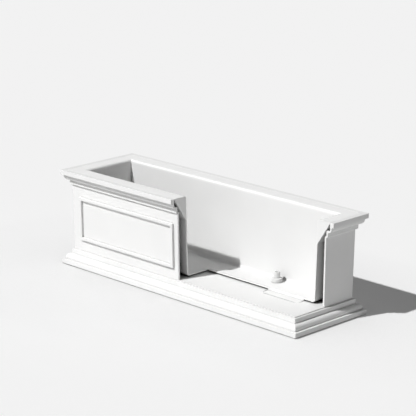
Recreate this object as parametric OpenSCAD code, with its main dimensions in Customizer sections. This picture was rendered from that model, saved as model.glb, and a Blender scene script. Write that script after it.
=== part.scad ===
// Window box planter moulded in plastic. An outer shell has a crown moulding, two panel
// frames on its front and a base moulding. A liner stands inside it on two hollow feet, with
// its rim flush with the crown. A hollow plug with a rubber seal stands in the drain in its
// floor: water that rises over the plug's stem runs off, and a pulled plug drains the rest.
// It is a display piece: the front right quarter is cut away down to the shell's floor.
// The origin is on the ground in the middle of the footprint. +X runs along the length to
// the right, -Y is the front and +Z is up. Mouldings are given as insets from the outer face.

/* [Overall size] */
// Length over the crown and the plinth
overall_length = 914; // [800:1:1200]
// Depth over the crown and the plinth
overall_depth = 278; // [250:1:360]
// Height from the ground to the top of the crown
overall_height = 278; // [240:1:340]
// Show the front right quarter cut away
sectioned = true; // [true, false]

/* [Shell] */
// Thickness of the shell's wall
shell_wall = 5; // [4:0.5:6]
// Thickness of the shell's floor
shell_floor = 5; // [4:0.5:7]
// How far the wall leans out between the base and the crown
shell_lean = 3; // [1:0.5:5]
// Width of the shell's flat top, from the outer face to the liner
lip_width = 14; // [13:0.5:18]
// Thickness of the shell's flat top at its inner edge
lip_thickness = 4.5; // [3:0.5:6]

/* [Crown moulding] */
// Height of the crown's upright outer face
fascia_height = 13; // [9:0.5:18]
// Step in from the outer face to the quarter round
crown_step = 7; // [4:0.5:10]
// Upright stretch above the quarter round
crown_riser = 5; // [2:0.5:8]
// Radius of the crown's quarter round
crown_round = 11; // [8:0.5:13]
// Narrow ledge between the quarter round and the bead
crown_ledge = 1; // [0.5:0.5:3]
// Height of the bead under the quarter round
bead_height = 12; // [8:0.5:16]
// Step in from the bead to the wall
bead_step = 5.5; // [3:0.5:8]
// Height of the sloped underside of the bead
bead_slope = 3; // [1:0.5:5]

/* [Base moulding] */
// Height of the plinth
plinth_height = 15; // [12:0.5:22]
// Width of the ledge on the plinth
plinth_step = 8; // [6:0.5:11]
// Upright stretch under the quarter round
base_riser = 5; // [2:0.5:8]
// Radius of the base's quarter round
base_round = 11; // [8:0.5:13]
// Narrow ledge on top of the quarter round
base_ledge = 2; // [0.5:0.5:3]
// Height of the flat band above the quarter round
band_height = 13; // [9:0.5:17]
// Height of the shell's floor above the top of the band
floor_rise = 2.5; // [1:0.5:5]

/* [Front panels] */
// Margin between the end of the wall and a panel's frame
panel_end_margin = 31; // [18:0.5:45]
// Space between the two frames
panel_gap = 32; // [20:0.5:50]
// Margin between a frame and the crown above it
panel_top_margin = 29.5; // [20:0.5:40]
// Margin between a frame and the base moulding below it
panel_bottom_margin = 34; // [20:0.5:45]
// Width of a frame's bar where it meets the wall
panel_bar = 9; // [6:0.5:16]
// How far a frame stands out from the wall
panel_raise = 6.5; // [3:0.5:8]
// Draft on each side of a bar, from the wall to its face
panel_draft = 0.5; // [0.25:0.25:1.5]

/* [Underside ribs] */
// Number of ribs across the underside of the floor
rib_count = 9; // [5:2:11]
// Thickness of a rib
rib_thickness = 4; // [3:0.5:6]
// How far a rib stands down from the floor
rib_height = 22; // [12:1:26]

/* [Liner] */
// Thickness of the liner's walls
liner_wall = 4; // [3:0.5:5]
// Thickness of the liner's floor
liner_floor = 3.5; // [3:0.5:5]
// Width of the liner's flat rim, from the shell's top to the opening
rim_width = 42; // [36:0.5:50]
// Rounding of the rim's inner edge
rim_round = 7; // [4:0.5:9]
// How far the solid rim tapers down before the thin wall starts
rim_drop = 61; // [50:1:72]
// How far the liner's walls lean in between the rim and the floor
liner_lean = 7.5; // [4:0.5:12]
// Fillet between the liner's walls and its floor
liner_fillet = 8.5; // [6:0.5:14]
// Height of the space between the shell's floor and the liner's floor
floor_gap = 4.5; // [4:0.5:8]

/* [Liner feet] */
// Distance from the liner's end wall to the foot next to it
foot_end_space = 36; // [20:1:60]
// Distance from the centre line to the centre of the feet, towards the front
foot_front = 9; // [2:0.5:14]
// Length of a foot over its walls
foot_length = 128; // [90:1:150]
// Width of a foot over its walls
foot_width = 32; // [32:0.5:44]
// Thickness of a foot's walls and bottom
foot_wall = 3.5; // [3:0.5:5]
// Corner radius of a foot
foot_corner = 8; // [6:0.5:9]
// Space round a foot's sides in its pocket in the shell's floor
pocket_space = 3; // [2:0.5:3]

/* [Drain and overflow plug] */
// Bay between the ribs that the drain is in, counted from the middle to the right
drain_bay = 3; // [1:1:3]
// Space between the plug's flange and the fillet at the liner's back wall
plug_margin = 0.25; // [0.25:0.25:8]
// Diameter of the drain hole in the liner's floor
drain_bore = 20; // [14:0.5:22]
// Diameter of the outlet in the shell's floor
outlet_bore = 16; // [10:0.5:18]
// Space between the drain hole and the outlet to the left of it
outlet_space = 6; // [4:0.5:7]
// Diameter of the plug's flange
flange_diameter = 30; // [28:0.5:36]
// Height of the plug's flange
flange_height = 9.5; // [6:0.5:14]
// Diameter of the plug's stem
stem_diameter = 17; // [14:0.5:22]
// Height of the plug's stem above the flange
stem_height = 17.5; // [12:0.5:26]
// Diameter of the overflow bore in the stem
stem_bore = 8; // [5:0.5:9]
// Thickness of the rubber seal
seal_thickness = 2; // [1:0.25:3]

/* [Hidden] */
// Gap between faces that rest on or slide past each other
seat_gap = 0.3;
// Gap all round the plug's spigot in its hole
spigot_clearance = 0.05;
// Overrun of the cuts
cut = 1;
// Flat faces in a quarter round
arc_steps = 8;
// Rounding of the flange's upper edge and of the corner at the stem's foot
plug_edge = 1.2;
// Rounding of the stem's top, as a share of its wall
stem_edge_share = 0.3;
// Length of the spigot below the liner's floor
spigot_reach = 1.5;
// Chamfer at the foot of the spigot
spigot_chamfer = 0.8;
// Wall of the plug's spigot
spigot_wall = 2.5;

white = [0.94, 0.94, 0.93];
pale_grey = [0.85, 0.85, 0.84];

half_length = overall_length / 2;
half_depth = overall_depth / 2;
wall_top_inset = crown_step + crown_round + crown_ledge + bead_step;
wall_foot_inset = wall_top_inset + shell_lean;
bead_inset = wall_top_inset - bead_step;
band_inset = plinth_step + base_round + base_ledge;
base_round_level = plinth_height + base_riser;
band_level = base_round_level + base_round;
ledge_level = band_level + band_height;
floor_level = ledge_level + floor_rise;
crown_round_level = overall_height - fascia_height - crown_riser;
bead_top_level = crown_round_level - crown_round;
bead_foot_level = bead_top_level - bead_height;
wall_top_level = bead_foot_level - bead_slope;
lip_level = overall_height - lip_thickness;

liner_foot_level = floor_level + floor_gap;
liner_floor_level = liner_foot_level + liner_floor;
rim_outer_inset = lip_width + seat_gap;
rim_inset = rim_outer_inset + rim_width;
rim_foot_level = lip_level - rim_drop;
liner_inner_foot_inset = rim_inset + liner_lean;
liner_rise = overall_height - liner_floor_level;

// The ribs leave bays of one width between the skirt's end walls.
rib_level = floor_level - shell_floor - rib_height;
rib_bay = (overall_length - 2 * (wall_foot_inset + shell_wall) - rib_count * rib_thickness)
    / (rib_count + 1);
rib_pitch = rib_bay + rib_thickness;

foot_place = half_length - liner_inner_foot_inset - foot_end_space - foot_length / 2;
drain_right = (drain_bay - 1 / 2) * rib_pitch;
outlet_right = drain_right - (drain_bore + outlet_bore) / 2 - outlet_space;
drain_back = half_depth - liner_inner_foot_inset - liner_fillet - flange_diameter / 2 - plug_margin;

// The inside of a foot's bottom is level with the shell's floor.
foot_level = floor_level - foot_wall;
foot_depth = liner_floor_level - floor_level;
pocket_level = foot_level - seat_gap;
// The pocket's corners come in to the foot's corners and hold the liner in place.
pocket_corner = foot_corner + (pocket_space * sqrt(2) - seat_gap) / (sqrt(2) - 1);

// Inset of the liner's inner face at a given level.
function liner_inset(level) = rim_inset + liner_lean * (overall_height - level) / liner_rise;

// Points of a quarter round about a centre, from one angle to another.
function arc(centre, radius, from, to, steps = arc_steps) =
    [for (i = [0 : steps]) let (a = from + (to - from) * i / steps)
        [centre[0] + radius * cos(a), centre[1] + radius * sin(a)]];

// Outer face of the shell, as inset and level, from the ground up.
shell_face = concat(
    [[0, 0], [0, plinth_height], [plinth_step, plinth_height]],
    arc([plinth_step + base_round, base_round_level], base_round, 180, 90),
    [[band_inset, band_level], [band_inset, ledge_level], [wall_foot_inset, ledge_level],
     [wall_top_inset, wall_top_level], [bead_inset, bead_foot_level], [bead_inset, bead_top_level]],
    arc([crown_step + crown_round, crown_round_level], crown_round, 270, 180),
    [[crown_step, overall_height - fascia_height], [0, overall_height - fascia_height],
     [0, overall_height]]);

// Inner face of the shell above its floor. It follows the crown one wall further in.
shell_cavity_face = concat(
    [[wall_foot_inset + shell_wall, floor_level],
     [wall_top_inset + shell_wall, wall_top_level + bead_slope],
     [bead_inset + shell_wall, bead_foot_level + bead_slope],
     [bead_inset + shell_wall, bead_top_level + shell_wall]],
    arc([crown_step + crown_round, crown_round_level], crown_round - shell_wall, 270, 180),
    [[crown_step + shell_wall, lip_level]]);

// Inner face of the skirt under the floor, one wall inside the base moulding.
skirt_face = concat(
    [[shell_wall, -cut], [shell_wall, plinth_height - shell_wall],
     [plinth_step + shell_wall, plinth_height - shell_wall]],
    arc([plinth_step + base_round, base_round_level], base_round - shell_wall, 180, 90),
    [[band_inset + shell_wall, band_level - shell_wall],
     [band_inset + shell_wall, ledge_level - shell_wall],
     [wall_foot_inset + shell_wall, ledge_level - shell_wall],
     [wall_foot_inset + shell_wall, floor_level - shell_floor]]);

// Outer face of the liner: floor, thin leaning wall, then the solid rim out to the shell's top.
liner_face = concat(
    arc([liner_inset(liner_foot_level) - liner_wall + liner_fillet, liner_foot_level + liner_fillet],
        liner_fillet, 270, 180),
    [[liner_inset(rim_foot_level) - liner_wall, rim_foot_level],
     [rim_outer_inset, lip_level], [rim_outer_inset, overall_height]]);

// Inner face of the liner, with the fillet at its floor and the rounded edge of its rim.
liner_cavity_face = concat(
    arc([liner_inner_foot_inset + liner_fillet, liner_floor_level + liner_fillet],
        liner_fillet, 270, 180),
    arc([rim_inset - rim_round, overall_height - rim_round], rim_round, 0, 90),
    [[rim_inset - rim_round, overall_height + cut]]);

// A rectangular body whose four sides all follow one face, mitred at the corners.
module mitred_body(face, length, depth) {
    intersection() {
        rotate([90, 0, 0]) side_slab(face, length, depth + 2 * cut);
        rotate([90, 0, 90]) side_slab(face, depth, length + 2 * cut);
    }
}

module side_slab(face, span, run) {
    right = [for (p = face) [span / 2 - p[0], p[1]]];
    left = [for (i = [len(face) - 1 : -1 : 0]) [face[i][0] - span / 2, face[i][1]]];
    linear_extrude(height = run, center = true) polygon(concat(right, left));
}

// Outline of a rectangle with rounded corners, centred.
module rounded_rectangle(length, width, corner) {
    polygon([for (k = [0 : 3]) let (
            sx = (k == 0 || k == 3) ? 1 : -1,
            sy = k < 2 ? 1 : -1,
            centre = [sx * (length / 2 - corner), sy * (width / 2 - corner)])
        each arc(centre, corner, k * 90, (k + 1) * 90)]);
}

// The quarter that is cut away for display: right of the middle, in front of the centre
// line and above the shell's floor.
module display_quarter() {
    translate([0, -half_depth - cut, floor_level])
        cube([half_length + cut, half_depth + cut, overall_height]);
}

// Places its children at the foot on each side.
module at_feet() {
    for (side = [-1, 1]) translate([side * foot_place, -foot_front, 0]) children();
}

// Places its children on the drain's axis, at a level.
module at_drain(level) {
    translate([drain_right, drain_back, level]) children();
}

module outer_shell() {
    color(white) difference() {
        union() {
            mitred_body(shell_face, overall_length, overall_depth);
            for (side = [-1, 1]) panel_frame(side);
        }
        mitred_body(shell_cavity_face, overall_length, overall_depth);
        translate([0, 0, lip_level - cut])
            linear_extrude(lip_thickness + 2 * cut)
                square([overall_length - 2 * lip_width, overall_depth - 2 * lip_width], center = true);
        skirt_hollow();
        at_feet() foot_pocket();
        translate([outlet_right, drain_back, floor_level - shell_floor - cut])
            cylinder(d = outlet_bore, h = shell_floor + 2 * cut, $fn = 96);
        if (sectioned) display_quarter();
    }
}

// Raised frame on the front wall, square to it where it leans.
panel_foot = ledge_level + panel_bottom_margin;
panel_head = wall_top_level - panel_top_margin;
panel_height = panel_head - panel_foot;
panel_width = half_length - (wall_top_inset + wall_foot_inset) / 2 - panel_end_margin
    - panel_gap / 2;
wall_rise = wall_top_level - ledge_level;
function wall_inset(level) = wall_foot_inset - shell_lean * (level - ledge_level) / wall_rise;

module panel_frame(side) {
    middle = (panel_foot + panel_head) / 2;
    translate([side * (panel_gap + panel_width) / 2, -half_depth + wall_inset(middle), middle])
        rotate([90 + atan(shell_lean / wall_rise), 0, 0])
            difference() {
                drafted_slab(panel_width, panel_height, panel_draft);
                drafted_slab(panel_width - 2 * panel_bar, panel_height - 2 * panel_bar,
                             -panel_draft, cut);
            }
}

// A plate rooted in the wall whose sides slope in, or out where the slope is negative.
module drafted_slab(length, height, slope, overrun = 0) {
    root = shell_wall / 2 + overrun;
    share = (panel_raise + overrun) / panel_raise;
    intersection() {
        rotate([90, 0, 0]) linear_extrude(height + 2 * abs(slope) + 2 * cut, center = true)
            slab_profile(length / 2, slope, root, share);
        rotate([90, 0, 90]) linear_extrude(length + 2 * abs(slope) + 2 * cut, center = true)
            slab_profile(height / 2, slope, root, share);
    }
}

module slab_profile(half, slope, root, share) {
    top = half - slope * share;
    rise = panel_raise * share;
    polygon([[-half, -root], [half, -root], [half, 0], [top, rise], [-top, rise], [-half, 0]]);
}

// The hollow under the floor, less the ribs and the seats under the feet.
module skirt_hollow() {
    difference() {
        mitred_body(skirt_face, overall_length, overall_depth);
        for (i = [1 : rib_count])
            translate([rib_pitch * (i - (rib_count + 1) / 2), 0, rib_level + overall_height / 2])
                cube([rib_thickness, overall_depth, overall_height], center = true);
        translate([0, 0, rib_level + overall_height / 2])
            cube([overall_length, rib_thickness, overall_height], center = true);
        at_feet() translate([0, 0, pocket_level - shell_floor])
            linear_extrude(overall_height)
                rounded_rectangle(foot_length + 2 * pocket_space + 2 * shell_wall,
                                  foot_width + 2 * pocket_space + 2 * shell_wall,
                                  pocket_corner + shell_wall);
    }
}

module foot_pocket() {
    translate([0, 0, pocket_level])
        linear_extrude(floor_level - pocket_level + cut)
            rounded_rectangle(foot_length + 2 * pocket_space, foot_width + 2 * pocket_space,
                              pocket_corner);
}

module inner_liner() {
    color(white) difference() {
        union() {
            mitred_body(liner_face, overall_length, overall_depth);
            at_feet() translate([0, 0, foot_level])
                linear_extrude(liner_floor_level - foot_level)
                    rounded_rectangle(foot_length, foot_width, foot_corner);
        }
        mitred_body(liner_cavity_face, overall_length, overall_depth);
        at_feet() foot_hollow();
        at_drain(liner_foot_level - cut)
            cylinder(d = drain_bore, h = liner_floor + 2 * cut, $fn = 96);
        if (sectioned) display_quarter();
    }
}

// Inside of a foot: its sides round into the flat bottom all the way down.
module foot_hollow() {
    face = concat(arc([foot_wall + foot_depth, liner_floor_level], foot_depth, 270, 180),
                  [[foot_wall, liner_floor_level + cut]]);
    mitred_body(face, foot_length, foot_width);
}

// Levels of the plug above the liner's floor.
flange_level = liner_floor_level + seal_thickness;
stem_level = flange_level + flange_height;
stem_top_level = stem_level + stem_height;
spigot_level = liner_foot_level - spigot_reach;
spigot_radius = drain_bore / 2 - spigot_clearance;
spigot_bore_radius = spigot_radius - spigot_wall;
stem_edge = stem_edge_share * (stem_diameter - stem_bore) / 2;

module overflow_plug() {
    color(white) at_drain(0)
        rotate_extrude($fn = 96) polygon(concat(
            [[spigot_bore_radius, spigot_level],
             [spigot_radius - spigot_chamfer, spigot_level],
             [spigot_radius, spigot_level + spigot_chamfer],
             [spigot_radius, flange_level],
             [flange_diameter / 2, flange_level]],
            arc([flange_diameter / 2 - plug_edge, stem_level - plug_edge], plug_edge, 0, 90, 4),
            arc([stem_diameter / 2 + plug_edge, stem_level + plug_edge], plug_edge, 270, 180, 4),
            arc([stem_diameter / 2 - stem_edge, stem_top_level - stem_edge], stem_edge, 0, 90, 4),
            arc([stem_bore / 2 + stem_edge, stem_top_level - stem_edge], stem_edge, 90, 180, 4),
            [[stem_bore / 2, stem_level], [spigot_bore_radius, flange_level]]));
}

// Flat rubber ring between the flange and the liner's floor, with a rounded outer edge.
module plug_seal() {
    edge = seal_thickness / 2;
    color(pale_grey) at_drain(liner_floor_level)
        rotate_extrude($fn = 96) polygon(concat(
            [[spigot_radius + spigot_clearance, 0]],
            arc([flange_diameter / 2 - edge, edge], edge, -90, 90, 6),
            [[spigot_radius + spigot_clearance, seal_thickness]]));
}

outer_shell();
inner_liner();
overflow_plug();
plug_seal();
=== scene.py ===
import math

import bmesh
import bpy
from mathutils import Matrix, Vector


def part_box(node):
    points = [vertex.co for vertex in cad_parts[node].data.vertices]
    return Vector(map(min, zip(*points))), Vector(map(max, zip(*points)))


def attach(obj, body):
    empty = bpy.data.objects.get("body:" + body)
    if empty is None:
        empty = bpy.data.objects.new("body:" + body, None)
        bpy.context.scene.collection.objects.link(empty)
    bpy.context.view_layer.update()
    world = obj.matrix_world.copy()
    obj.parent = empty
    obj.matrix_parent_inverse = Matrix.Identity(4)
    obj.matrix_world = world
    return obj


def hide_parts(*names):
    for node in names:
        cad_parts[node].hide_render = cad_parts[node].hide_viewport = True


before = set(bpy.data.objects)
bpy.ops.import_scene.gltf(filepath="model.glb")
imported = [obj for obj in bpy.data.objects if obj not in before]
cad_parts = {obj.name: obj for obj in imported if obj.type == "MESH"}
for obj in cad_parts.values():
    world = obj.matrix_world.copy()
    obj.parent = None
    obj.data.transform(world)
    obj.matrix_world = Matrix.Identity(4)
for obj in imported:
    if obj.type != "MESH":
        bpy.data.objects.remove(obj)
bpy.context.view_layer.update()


# Outer shell. The box that stands on the ground, with a stepped crown moulding round its top and a
# base moulding round its foot: one hollow moulding in matt white plastic with a 5 mm wall. Its
# arrises keep the small radius of the mould, and a low relief under the plinth keeps it level.
shell_low, shell_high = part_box("outer_shell")
planter_length, planter_depth, planter_height = shell_high - shell_low
shell_wall = 0.005
shell_floor = 0.005
shell_lean = 0.003
lip_width = 0.014
lip_thickness = 0.0045
fascia_height = 0.013
crown_step = 0.007
crown_riser = 0.005
crown_round = 0.011
crown_ledge = 0.001
bead_height = 0.012
bead_step = 0.0055
bead_slope = 0.003
sole_height = 0.002
sole_step = 0.003
plinth_height = 0.015
plinth_step = 0.008
base_riser = 0.005
base_round = 0.011
base_ledge = 0.002
band_height = 0.013
floor_rise = 0.0025
shell_arris = 0.0006
shell_corner = 0.0012
overrun = 0.001
sharp_angle = 160
arris_share = 0.45
crease_angle = 38
weld_distance = 2e-6

wall_top_inset = crown_step + crown_round + crown_ledge + bead_step
wall_foot_inset = wall_top_inset + shell_lean
bead_inset = wall_top_inset - bead_step
band_inset = plinth_step + base_round + base_ledge
base_round_level = plinth_height + base_riser
band_level = base_round_level + base_round
ledge_level = band_level + band_height
shell_floor_level = ledge_level + floor_rise
floor_underside = shell_floor_level - shell_floor
crown_round_level = planter_height - fascia_height - crown_riser
bead_top_level = crown_round_level - crown_round
bead_foot_level = bead_top_level - bead_height
wall_top_level = bead_foot_level - bead_slope
lip_level = planter_height - lip_thickness


def quarter_round(inset, level, radius, start, end, facets=12):
    """Points of a quarter round about a centre, from one angle in degrees to another."""
    angles = [math.radians(start + (end - start) * i / facets) for i in range(facets + 1)]
    return [(inset + radius * math.cos(a), level + radius * math.sin(a)) for a in angles]


def eased(face, arris, closed=False, facets=3):
    """A face whose sharp corners are eased to a small radius, as a mould leaves them."""
    points = [Vector(point) for point in face]
    made = []
    for k, corner in enumerate(points):
        back = points[k - 1] - corner
        ahead = points[(k + 1) % len(points)] - corner
        is_end = not closed and k in (0, len(points) - 1)
        if is_end or back.angle(ahead) > math.radians(sharp_angle):
            made.append(tuple(corner))
            continue
        half_angle = back.angle(ahead) / 2
        reach = min(arris / math.tan(half_angle), arris_share * back.length,
                    arris_share * ahead.length)
        radius = reach * math.tan(half_angle)
        inward = (back.normalized() + ahead.normalized()).normalized()
        centre = corner + inward * radius / math.sin(half_angle)
        first = corner + back.normalized() * reach - centre
        last = corner + ahead.normalized() * reach - centre
        for i in range(facets + 1):
            made.append(tuple(centre + first.lerp(last, i / facets).normalized() * radius))
    return made


def as_piece(name, form):
    """Puts a finished mesh into the scene as a piece."""
    bmesh.ops.recalc_face_normals(form, faces=form.faces)
    mesh = bpy.data.meshes.new(name)
    form.to_mesh(mesh)
    form.free()
    piece = bpy.data.objects.new(name, mesh)
    bpy.context.collection.objects.link(piece)
    return piece


def join_courses(form, courses, closed=False):
    """Skins a stack of courses, and fills the first and the last unless the stack is closed."""
    pairs = list(zip(courses, courses[1:]))
    if closed:
        pairs.append((courses[-1], courses[0]))
    else:
        form.faces.new(courses[0])
        form.faces.new(courses[-1])
    for lower, upper in pairs:
        for k in range(len(lower)):
            m = (k + 1) % len(lower)
            form.faces.new((lower[k], lower[m], upper[m], upper[k]))


def mitred_moulding(name, face, length, depth, corner, closed=False, corner_facets=4):
    """A body whose four sides follow one face of insets and levels, with small round corners."""
    form = bmesh.new()
    courses = []
    for inset, level in face:
        ring = []
        for k, (side_x, side_y) in enumerate([(1, 1), (-1, 1), (-1, -1), (1, -1)]):
            for i in range(corner_facets + 1):
                angle = math.radians(90 * (k + i / corner_facets))
                x = side_x * (length / 2 - inset - corner) + corner * math.cos(angle)
                y = side_y * (depth / 2 - inset - corner) + corner * math.sin(angle)
                ring.append(form.verts.new((x, y, level)))
        courses.append(ring)
    join_courses(form, courses, closed)
    return as_piece(name, form)


def block(name, low, high):
    """A plain block between two corners, which cuts or fills a moulding."""
    form = bmesh.new()
    bmesh.ops.create_cube(form, size=1)
    size = Vector(high) - Vector(low)
    middle = (Vector(high) + Vector(low)) / 2
    form.transform(Matrix.Translation(middle) @ Matrix.Diagonal((*size, 1)))
    return as_piece(name, form)


def rod(name, place, radius, low, high, facets=72):
    """A round bar along Z, which bores a hole."""
    form = bmesh.new()
    courses = []
    for level in (low, high):
        turns = [2 * math.pi * k / facets for k in range(facets)]
        courses.append([form.verts.new((place[0] + radius * math.cos(turn),
                                        place[1] + radius * math.sin(turn), level))
                        for turn in turns])
    join_courses(form, courses)
    return as_piece(name, form)


def settle(piece):
    """Applies a piece's modifiers to its mesh."""
    shaped = piece.evaluated_get(bpy.context.evaluated_depsgraph_get())
    mesh = bpy.data.meshes.new_from_object(shaped)
    piece.modifiers.clear()
    piece.data = mesh


def work(piece, tool, operation="DIFFERENCE"):
    """Cuts a tool out of a piece, or joins it on, and uses the tool up."""
    change = piece.modifiers.new("work", "BOOLEAN")
    change.operation = operation
    change.solver = "EXACT"
    change.object = tool
    settle(piece)
    bpy.data.objects.remove(tool)


def smooth_moulding(piece):
    """Smooth rounds and flat faces, with creases only where the real edge is sharp."""
    form = bmesh.new()
    form.from_mesh(piece.data)
    bmesh.ops.remove_doubles(form, verts=form.verts, dist=weld_distance)
    form.to_mesh(piece.data)
    form.free()
    piece.data.shade_smooth()
    piece.data.set_sharp_from_angle(angle=math.radians(crease_angle))
    even = piece.modifiers.new("even_shading", "WEIGHTED_NORMAL")
    even.keep_sharp = True
    settle(piece)


shell_face = [
    (sole_step, 0), (sole_step, sole_height), (0, sole_height), (0, plinth_height),
    (plinth_step, plinth_height),
    *quarter_round(plinth_step + base_round, base_round_level, base_round, 180, 90),
    (band_inset, band_level), (band_inset, ledge_level), (wall_foot_inset, ledge_level),
    (wall_top_inset, wall_top_level), (bead_inset, bead_foot_level), (bead_inset, bead_top_level),
    *quarter_round(crown_step + crown_round, crown_round_level, crown_round, 270, 180),
    (crown_step, planter_height - fascia_height), (0, planter_height - fascia_height),
    (0, planter_height), (lip_width, planter_height), (lip_width, lip_level),
    (crown_step + shell_wall, lip_level),
    *quarter_round(crown_step + crown_round, crown_round_level, crown_round - shell_wall, 180, 270),
    (bead_inset + shell_wall, bead_top_level + shell_wall),
    (bead_inset + shell_wall, bead_foot_level + bead_slope),
    (wall_top_inset + shell_wall, wall_top_level + bead_slope),
    (wall_foot_inset + shell_wall, shell_floor_level)]
shell = mitred_moulding("shell", eased([(shell_wall, 0), *shell_face], shell_arris),
                        planter_length, planter_depth, shell_corner)


# Skirt and ribs. The base is hollow from below: a skirt one wall thick follows the base moulding,
# and ribs moulded in one with the shell brace the floor and leave bays of one width.
rib_count = 9
rib_thickness = 0.004
rib_height = 0.022
foot_length = 0.128
foot_width = 0.032
foot_end_space = 0.036
foot_front = 0.009
foot_wall = 0.0035
foot_facets = 10
pocket_space = 0.003
pocket_corner = 0.0175
seat_gap = 0.0003
rim_width = 0.042
liner_lean = 0.0075

foot_level = shell_floor_level - foot_wall
pocket_level = foot_level - seat_gap
rim_outer_inset = lip_width + seat_gap
rim_inset = rim_outer_inset + rim_width
liner_foot_inset = rim_inset + liner_lean
foot_place = planter_length / 2 - liner_foot_inset - foot_end_space - foot_length / 2
rib_level = floor_underside - rib_height
skirt_length = planter_length - 2 * (wall_foot_inset + shell_wall)
rib_pitch = (skirt_length - rib_count * rib_thickness) / (rib_count + 1) + rib_thickness

skirt_face = [
    (shell_wall, -overrun), (shell_wall, plinth_height - shell_wall),
    (plinth_step + shell_wall, plinth_height - shell_wall),
    *quarter_round(plinth_step + base_round, base_round_level, base_round - shell_wall, 180, 90),
    (band_inset + shell_wall, band_level - shell_wall),
    (band_inset + shell_wall, ledge_level - shell_wall),
    (wall_foot_inset + shell_wall, ledge_level - shell_wall),
    (wall_foot_inset + shell_wall, floor_underside)]
hollow = mitred_moulding("hollow", eased(skirt_face, shell_arris), planter_length, planter_depth,
                         shell_corner)


def foot_block(name, side, space, low, high, corner, ease=0.0):
    """A block with round corners on the place of a foot, wider than it by a space all round."""
    face = [(ease, low), (0, low + ease), (0, high)] if ease else [(0, low), (0, high)]
    piece = mitred_moulding(name, face, foot_length + 2 * space, foot_width + 2 * space, corner,
                            corner_facets=foot_facets)
    piece.data.transform(Matrix.Translation((side * foot_place, -foot_front, 0)))
    return piece


for i in range(rib_count):
    rib_right = rib_pitch * (i - (rib_count - 1) / 2)
    rib = block("rib", (rib_right - rib_thickness / 2, -planter_depth, rib_level),
                (rib_right + rib_thickness / 2, planter_depth, planter_height))
    work(hollow, rib)
spine = block("spine", (-planter_length, -rib_thickness / 2, rib_level),
              (planter_length, rib_thickness / 2, planter_height))
work(hollow, spine)
for side in (-1, 1):
    work(hollow, foot_block("seat", side, pocket_space + shell_wall, pocket_level - shell_floor,
                            planter_height, pocket_corner + shell_wall))
work(shell, hollow)
for side in (-1, 1):
    work(shell, foot_block("pocket", side, pocket_space, pocket_level,
                           shell_floor_level + overrun, pocket_corner))


# Drain outlet and panel. A round hole in the shell's floor lets the water out beside the liner's
# drain. The frame of the left panel stands proud of the front wall, square to it, and is moulded
# with it. The frame of the right panel went with the quarter that is sawn off.
drain_bay = 3
drain_radius = 0.01
outlet_radius = 0.008
outlet_space = 0.006
liner_fillet = 0.0085
flange_radius = 0.015
plug_margin = 0.00025
panel_end_margin = 0.031
panel_gap = 0.032
panel_top_margin = 0.0295
panel_bottom_margin = 0.034
panel_bar = 0.009
panel_raise = 0.0065
panel_draft = 0.0005
panel_root = 0.0025
panel_arris = 0.0007
panel_corner = 0.0008

drain_right = (drain_bay - 1 / 2) * rib_pitch
drain_back = planter_depth / 2 - liner_foot_inset - liner_fillet - flange_radius - plug_margin
outlet_right = drain_right - drain_radius - outlet_radius - outlet_space
work(shell, rod("outlet", (outlet_right, drain_back), outlet_radius,
                floor_underside - overrun, shell_floor_level + overrun))
panel_foot = ledge_level + panel_bottom_margin
panel_height = wall_top_level - panel_top_margin - panel_foot
panel_width = ((planter_length - wall_top_inset - wall_foot_inset - panel_gap) / 2
               - panel_end_margin)
wall_rise = wall_top_level - ledge_level
panel_middle = panel_foot + panel_height / 2
panel_inset = wall_foot_inset - shell_lean * (panel_middle - ledge_level) / wall_rise
bar_face = [(0, -panel_root), (panel_draft, panel_raise), (panel_bar - panel_draft, panel_raise),
            (panel_bar, -panel_root)]
panel = mitred_moulding("panel", eased(bar_face, panel_arris, closed=True), panel_width,
                        panel_height, panel_corner, closed=True)
panel.data.transform(
    Matrix.Translation((-(panel_gap + panel_width) / 2, panel_inset - planter_depth / 2,
                        panel_middle))
    @ Matrix.Rotation(math.pi / 2 + math.atan(shell_lean / wall_rise), 4, "X"))
work(shell, panel, "UNION")


def add_node(paint, kind, inputs, **settings):
    """Adds a node to a material, with its inputs set to values or linked to other nodes."""
    node = paint.node_tree.nodes.new(kind)
    for name, value in settings.items():
        setattr(node, name, value)
    for name, value in inputs.items():
        if isinstance(value, bpy.types.NodeSocket):
            paint.node_tree.links.new(value, node.inputs[name])
        else:
            node.inputs[name].default_value = value
    return node


shell_colour = (0.83, 0.83, 0.825)
sawn_colour = (0.82, 0.82, 0.815)
flow_scale = 6
flow_shares = (0.3, 0.7)
flow_spread = (0.975, 1.02)
# Painted shade: the colour darkens in deep corners, gaps and hollows, where shade falls.
corner_shade_reach = 0.2
corner_shade_tones = ((0.0, 0.02), (0.07, 0.2), (0.13, 0.78), (0.35, 0.97), (0.6, 1.0))
# Painted shade: a thin dark line in creases and inside corners.
crease_shade_reach = 0.006
crease_shade_open = (0.45, 0.85)
crease_shade_tone = 0.65
rub_reach = 0.0015
rub_open = (0.35, 0.9)
rub_gain = 1.05
tub_shade_blend = 0.01
scuff_scale = 45
scuff_share = (0.3, 0.7)
scuff_roughness = (0.46, 0.6)
sheen = 0.25
mould_grain = 2400
mould_grain_depth = 0.00005
sawn_grain = 1500
saw_mark_scale = 130
saw_mark_wander = 4
saw_mark_depth = 0.00012
relief_strength = 0.5


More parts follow.
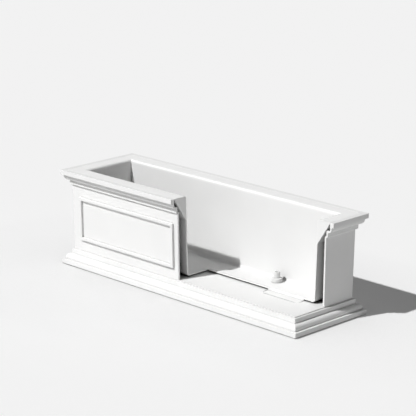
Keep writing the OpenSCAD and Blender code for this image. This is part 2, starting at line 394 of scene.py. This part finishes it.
def plastic(name, pale, grain_scale=mould_grain, grain_depth=mould_grain_depth, saw_depth=0.0,
            tub_shade=0.0, tub_shade_level=0.0):
    """Matt plastic: faint flow marks in its colour, painted shade in its deep corners and gaps, a
    line of painted shade in its creases, arrises that are rubbed a little paler, scuffed patches
    that are less smooth, and a fine grain or the marks of a saw. Painted shade can darken all that
    lies below a level."""
    paint = bpy.data.materials.new(name)
    paint.use_nodes = True
    shader = paint.node_tree.nodes["Principled BSDF"]
    place = add_node(paint, "ShaderNodeTexCoord", {}).outputs["Object"]
    flow = add_node(paint, "ShaderNodeTexNoise",
                    {"Vector": place, "Scale": flow_scale, "Detail": 4})
    tint = add_node(paint, "ShaderNodeValToRGB", {"Fac": flow.outputs["Fac"]})
    for stop, share, spread in zip(tint.color_ramp.elements, flow_shares, flow_spread):
        stop.position = share
        stop.color = (*(spread * part for part in pale), 1)
    # Painted shade in deep corners and gaps, darker the more enclosed a point is.
    corner = add_node(paint, "ShaderNodeAmbientOcclusion", {"Distance": corner_shade_reach}, samples=16)
    corner_shade = add_node(paint, "ShaderNodeValToRGB", {"Fac": corner.outputs["AO"]})
    for share, _ in corner_shade_tones[1:-1]:
        corner_shade.color_ramp.elements.new(share)
    for stop, (share, tone) in zip(corner_shade.color_ramp.elements, corner_shade_tones):
        stop.position = share
        stop.color = (tone, tone, tone, 1)
    # Painted shade: a thin dark line along creases and inside corners.
    crease_occlusion = add_node(paint, "ShaderNodeAmbientOcclusion", {"Distance": crease_shade_reach}, samples=8)
    crease_shade = add_node(paint, "ShaderNodeMapRange",
                     {"Value": crease_occlusion.outputs["AO"], "From Min": crease_shade_open[0],
                      "From Max": crease_shade_open[1], "To Min": crease_shade_tone, "To Max": 1})
    corner_and_crease_shade = add_node(paint, "ShaderNodeMath", {0: corner_shade.outputs["Color"], 1: crease_shade.outputs["Result"]},
                    operation="MULTIPLY")
    arris = add_node(paint, "ShaderNodeAmbientOcclusion", {"Distance": rub_reach}, samples=4,
                     inside=True)
    rub = add_node(paint, "ShaderNodeMapRange",
                   {"Value": arris.outputs["AO"], "From Min": rub_open[0],
                    "From Max": rub_open[1], "To Min": rub_gain, "To Max": 1})
    shade = add_node(paint, "ShaderNodeMath", {0: corner_and_crease_shade.outputs["Value"], 1: rub.outputs["Result"]},
                     operation="MULTIPLY")
    # Painted shade: the colour below a level is darker, so the inside of the tub reads as in shade
    # and the top of the rim stays lighter.
    if tub_shade:
        way = add_node(paint, "ShaderNodeSeparateXYZ", {"Vector": place})
        tub_shade_ramp = add_node(paint, "ShaderNodeMapRange",
                        {"Value": way.outputs["Z"], "From Min": tub_shade_level - tub_shade_blend,
                         "From Max": tub_shade_level, "To Min": 1 - tub_shade, "To Max": 1})
        shade = add_node(paint, "ShaderNodeMath",
                         {0: shade.outputs["Value"], 1: tub_shade_ramp.outputs["Result"]},
                         operation="MULTIPLY")
    colour = add_node(paint, "ShaderNodeHueSaturation",
                      {"Color": tint.outputs["Color"], "Value": shade.outputs["Value"]})
    scuff = add_node(paint, "ShaderNodeTexNoise", {"Vector": place, "Scale": scuff_scale,
                                                   "Detail": 5})
    dull = add_node(paint, "ShaderNodeMapRange",
                    {"Value": scuff.outputs["Fac"], "From Min": scuff_share[0],
                     "From Max": scuff_share[1], "To Min": scuff_roughness[0],
                     "To Max": scuff_roughness[1]})
    grain = add_node(paint, "ShaderNodeTexNoise",
                     {"Vector": place, "Scale": grain_scale, "Detail": 2})
    relief = add_node(paint, "ShaderNodeBump",
                      {"Height": grain.outputs["Fac"], "Distance": grain_depth,
                       "Strength": relief_strength})
    if saw_depth:
        teeth = add_node(paint, "ShaderNodeTexWave",
                         {"Vector": place, "Scale": saw_mark_scale,
                          "Distortion": saw_mark_wander, "Detail": 3},
                         bands_direction="DIAGONAL")
        relief = add_node(paint, "ShaderNodeBump",
                          {"Height": teeth.outputs["Fac"], "Distance": saw_depth,
                           "Strength": relief_strength, "Normal": relief.outputs["Normal"]})
    for socket, value in (("Base Color", colour.outputs["Color"]),
                          ("Roughness", dull.outputs["Result"]),
                          ("Normal", relief.outputs["Normal"])):
        paint.node_tree.links.new(value, shader.inputs[socket])
    shader.inputs["Specular IOR Level"].default_value = sheen
    return paint


moulded_white = plastic("moulded_white", shell_colour)
sawn_white = plastic("sawn_white", sawn_colour, grain_scale=sawn_grain, saw_depth=saw_mark_depth)


def saw_off_quarter(piece, face_white):
    """Saws off the right front quarter of a piece, down to the shell's floor."""
    quarter = block("quarter", (0, -planter_depth, shell_floor_level),
                    (planter_length, 0, 2 * planter_height))
    for paint in (face_white, sawn_white):
        piece.data.materials.append(paint)
        quarter.data.materials.append(paint)
    for face in quarter.data.polygons:
        face.material_index = 1
    work(piece, quarter)


saw_off_quarter(shell, moulded_white)
smooth_moulding(shell)
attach(shell, "shell")
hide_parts("outer_shell")


# Liner. The tub that holds the soil, moulded in the same white plastic: a broad solid rim with a
# round inner edge lies flush in the crown, and thin walls lean in to a floor with a fillet all
# round. It is lifted out by its rim. Nothing fixes it but its own feet and rim.
liner_wall = 0.004
liner_floor = 0.0035
rim_round = 0.007
rim_drop = 0.061
floor_gap = 0.0045
liner_arris = 0.0006
liner_corner = 0.001

liner_foot_level = shell_floor_level + floor_gap
liner_floor_level = liner_foot_level + liner_floor
rim_foot_level = lip_level - rim_drop
liner_rise = planter_height - liner_floor_level


def liner_inset(level):
    """Inset of the liner's inner face at a level."""
    return rim_inset + liner_lean * (planter_height - level) / liner_rise


liner_face = [
    *quarter_round(liner_inset(liner_foot_level) - liner_wall + liner_fillet,
                   liner_foot_level + liner_fillet, liner_fillet, 270, 180),
    (liner_inset(rim_foot_level) - liner_wall, rim_foot_level),
    (rim_outer_inset, lip_level), (rim_outer_inset, planter_height),
    *quarter_round(rim_inset - rim_round, planter_height - rim_round, rim_round, 90, 0),
    *quarter_round(liner_inset(liner_floor_level) + liner_fillet, liner_floor_level + liner_fillet,
                   liner_fillet, 180, 270)]
liner = mitred_moulding("liner", eased(liner_face, liner_arris), planter_length, planter_depth,
                        liner_corner)


# Liner feet and drain. Two hollow feet stand in pockets in the shell's floor and keep the tub in
# its place. Inside, their sides round into a flat bottom. The drain is a round hole at the back.
foot_corner = 0.008
foot_ease = 0.0012
liner_colour = (0.9, 0.9, 0.895)
# Painted shade: the liner's colour is darker everywhere below the top of its rim.
tub_painted_shade = 0.13
unshaded_rim = 0.002
foot_depth = liner_floor_level - shell_floor_level

for side in (-1, 1):
    foot = foot_block("foot", side, 0, foot_level, liner_foot_level + liner_floor / 2, foot_corner,
                      foot_ease)
    work(liner, foot, "UNION")
for side in (-1, 1):
    cove = [*quarter_round(foot_wall + foot_depth, liner_floor_level, foot_depth, 270, 180),
            (foot_wall, liner_floor_level + overrun)]
    foot_hollow = mitred_moulding("foot_hollow", cove, foot_length, foot_width,
                                  foot_corner - foot_wall, corner_facets=foot_facets)
    foot_hollow.data.transform(Matrix.Translation((side * foot_place, -foot_front, 0)))
    work(liner, foot_hollow)
work(liner, rod("drain", (drain_right, drain_back), drain_radius, liner_foot_level - overrun,
                liner_floor_level + overrun))
liner_white = plastic("liner_white", liner_colour, tub_shade=tub_painted_shade,
                      tub_shade_level=planter_height - unshaded_rim)
saw_off_quarter(liner, liner_white)
smooth_moulding(liner)
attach(liner, "liner")
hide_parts("inner_liner")


# Overflow plug. A hollow plug turned up from the drain: a flange that presses on the seal, a stem
# to pull it by, and a spigot that fits the hole. Water that rises over the stem runs down its bore.
seal_thickness = 0.002
flange_height = 0.0095
stem_radius = 0.0085
stem_height = 0.0175
stem_bore = 0.004
spigot_reach = 0.0015
spigot_clearance = 0.00005
spigot_wall = 0.0025
spigot_chamfer = 0.0008
plug_edge = 0.0012
stem_edge = 0.00135
plug_arris = 0.0003
edge_facets = 6
turned_facets = 96
plug_colour = (0.7, 0.7, 0.695)
plug_grain = 3200
plug_grain_depth = 0.00003

flange_level = liner_floor_level + seal_thickness
stem_level = flange_level + flange_height
stem_top_level = stem_level + stem_height
spigot_level = liner_foot_level - spigot_reach
spigot_radius = drain_radius - spigot_clearance


def turned(name, outline, facets=turned_facets):
    """A body turned about the drain's axis from an outline of radii and levels."""
    form = bmesh.new()
    courses = []
    for radius, level in outline:
        turns = [2 * math.pi * k / facets for k in range(facets)]
        courses.append([form.verts.new((drain_right + radius * math.cos(turn),
                                        drain_back + radius * math.sin(turn), level))
                        for turn in turns])
    join_courses(form, courses, closed=True)
    return as_piece(name, form)


plug_outline = [
    (spigot_radius - spigot_wall, spigot_level), (spigot_radius - spigot_chamfer, spigot_level),
    (spigot_radius, spigot_level + spigot_chamfer), (spigot_radius, flange_level),
    (flange_radius, flange_level),
    *quarter_round(flange_radius - plug_edge, stem_level - plug_edge, plug_edge, 0, 90,
                   edge_facets),
    *quarter_round(stem_radius + plug_edge, stem_level + plug_edge, plug_edge, 270, 180,
                   edge_facets),
    *quarter_round(stem_radius - stem_edge, stem_top_level - stem_edge, stem_edge, 0, 90,
                   edge_facets),
    *quarter_round(stem_bore + stem_edge, stem_top_level - stem_edge, stem_edge, 90, 180,
                   edge_facets),
    (stem_bore, stem_level), (spigot_radius - spigot_wall, flange_level)]
plug = turned("plug", eased(plug_outline, plug_arris, closed=True))
plug.data.materials.append(plastic("plug_white", plug_colour, grain_scale=plug_grain,
                                   grain_depth=plug_grain_depth))
smooth_moulding(plug)
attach(plug, "plug")
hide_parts("overflow_plug")


# Plug seal. A flat ring of soft pale grey rubber, pushed on to the spigot under the flange. Its
# outer edge is round, and it is slightly dusty from the soil.
seal_inner_radius = drain_radius
seal_arris = 0.0002
seal_edge = seal_thickness / 2
rubber_tones = ((0.5, 0.5, 0.49, 1), (0.66, 0.66, 0.65, 1))
bloom_scale = 300
pore_scale = 2600
pore_depth = 0.00004
pore_strength = 0.6
rubber_roughness = 0.8

seal_outline = [(seal_inner_radius, liner_floor_level),
                *quarter_round(flange_radius - seal_edge, liner_floor_level + seal_edge,
                               seal_edge, -90, 90),
                (seal_inner_radius, liner_floor_level + seal_thickness)]
seal = turned("seal", eased(seal_outline, seal_arris, closed=True))
rubber = bpy.data.materials.new("grey_rubber")
rubber.use_nodes = True
rubber_shader = rubber.node_tree.nodes["Principled BSDF"]
rubber_place = add_node(rubber, "ShaderNodeTexCoord", {}).outputs["Object"]
bloom = add_node(rubber, "ShaderNodeTexNoise",
                 {"Vector": rubber_place, "Scale": bloom_scale, "Detail": 5})
bloom_tint = add_node(rubber, "ShaderNodeValToRGB", {"Fac": bloom.outputs["Fac"]})
for stop, tone in zip(bloom_tint.color_ramp.elements, rubber_tones):
    stop.color = tone
pores = add_node(rubber, "ShaderNodeTexNoise",
                 {"Vector": rubber_place, "Scale": pore_scale, "Detail": 2})
pore_relief = add_node(rubber, "ShaderNodeBump",
                       {"Height": pores.outputs["Fac"], "Distance": pore_depth,
                        "Strength": pore_strength})
rubber.node_tree.links.new(bloom_tint.outputs["Color"], rubber_shader.inputs["Base Color"])
rubber.node_tree.links.new(pore_relief.outputs["Normal"], rubber_shader.inputs["Normal"])
rubber_shader.inputs["Roughness"].default_value = rubber_roughness
seal.data.materials.append(rubber)
smooth_moulding(seal)
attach(seal, "plug")
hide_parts("plug_seal")


# Studio. A pale floor without an edge in sight, a sun-like lamp from the front left, and a world
# that is bright near the horizon and dim overhead. The camera, at the front right, sees floor and
# backdrop as one pale grey, with painted shade that darkens the floor close to the planter.
floor_reach = 40
floor_shown = 0.86
floor_bounce = 0.68
shadow_lift = 0.115
backdrop_shown = 0.885
near_reach = 0.5
near_foot = 0.3
near_shade = 0.56
fill = 0.03
ring_fill = 0.65
ring_foot = 0.1
ring_top = 0.35
sun_strength = 3.42
sun_spread = 1.5
sun_height = 49.9
sun_heading = Vector((0.285, 0.95, 0)).normalized()
view_turn = math.radians(45.28)
view_height = math.radians(15.68)
view_distance = 4.9
view_aim = Vector((0.0688, -0.0674, 0.2555))
film_width = 36
lens_length = 158.4


def seen(paint):
    """1 for a ray from the camera, or one that gloss or glass sends on, and 0 for the rest."""
    ray = add_node(paint, "ShaderNodeLightPath", {})
    first = add_node(paint, "ShaderNodeMath", {0: ray.outputs["Is Camera Ray"],
                                               1: ray.outputs["Is Glossy Ray"]},
                     operation="MAXIMUM")
    both = add_node(paint, "ShaderNodeMath", {0: first.outputs["Value"],
                                              1: ray.outputs["Is Transmission Ray"]},
                    operation="MAXIMUM")
    return both.outputs["Value"]


floor_form = bmesh.new()
bmesh.ops.create_grid(floor_form, x_segments=1, y_segments=1, size=floor_reach)
floor = as_piece("floor", floor_form)
floor_paint = bpy.data.materials.new("floor_paint")
floor_paint.use_nodes = True
floor_shader = floor_paint.node_tree.nodes["Principled BSDF"]
floor_shader.inputs["Roughness"].default_value = 1
floor_shader.inputs["Specular IOR Level"].default_value = 0
floor_shader.inputs["Emission Color"].default_value = (1, 1, 1, 1)
floor_seen = seen(floor_paint)
# Painted shade: the floor's colour is darker where the planter is close.
near = add_node(floor_paint, "ShaderNodeAmbientOcclusion", {"Distance": near_reach}, samples=8)
near_tone = add_node(floor_paint, "ShaderNodeMapRange",
                     {"Value": near.outputs["AO"], "From Min": near_foot, "From Max": 1,
                      "To Min": floor_shown * near_shade, "To Max": floor_shown})
floor_tone = add_node(floor_paint, "ShaderNodeMapRange",
                      {"Value": floor_seen, "To Min": floor_bounce,
                       "To Max": near_tone.outputs["Result"]})
floor_lift = add_node(floor_paint, "ShaderNodeMath", {0: floor_seen, 1: shadow_lift},
                      operation="MULTIPLY")
floor_paint.node_tree.links.new(floor_tone.outputs["Result"], floor_shader.inputs["Base Color"])
floor_paint.node_tree.links.new(floor_lift.outputs["Value"],
                                floor_shader.inputs["Emission Strength"])
floor.data.materials.append(floor_paint)

studio = bpy.data.worlds.new("studio")
bpy.context.scene.world = studio
studio.use_nodes = True
backdrop = studio.node_tree.nodes["Background"]
backdrop.inputs["Color"].default_value = (1, 1, 1, 1)
sky = add_node(studio, "ShaderNodeTexCoord", {}).outputs["Generated"]
sky_way = add_node(studio, "ShaderNodeSeparateXYZ", {"Vector": sky})
ring = add_node(studio, "ShaderNodeMapRange",
                {"Value": sky_way.outputs["Z"], "From Min": ring_foot, "From Max": ring_top,
                 "To Min": ring_fill, "To Max": fill})
sky_tone = add_node(studio, "ShaderNodeMix",
                    {"Factor": seen(studio), "A": ring.outputs["Result"], "B": backdrop_shown})
studio.node_tree.links.new(sky_tone.outputs["Result"], backdrop.inputs["Strength"])

sun_light = bpy.data.lights.new("sun", "SUN")
sun_light.energy = sun_strength
sun_light.angle = math.radians(sun_spread)
sun = bpy.data.objects.new("sun", sun_light)
bpy.context.collection.objects.link(sun)
sun_path = sun_heading * math.cos(math.radians(sun_height))
sun_path.z = -math.sin(math.radians(sun_height))
sun.rotation_euler = sun_path.to_track_quat("-Z", "Y").to_euler()

lens = bpy.data.cameras.new("camera")
lens.sensor_width = film_width
lens.lens = lens_length
camera = bpy.data.objects.new("camera", lens)
bpy.context.collection.objects.link(camera)
towards_view = Vector((math.sin(view_turn) * math.cos(view_height),
                       -math.cos(view_turn) * math.cos(view_height), math.sin(view_height)))
camera.location = view_aim + view_distance * towards_view
camera.rotation_euler = (math.pi / 2 - view_height, 0, view_turn)
bpy.context.scene.camera = camera
bpy.context.scene.view_settings.view_transform = "Standard"
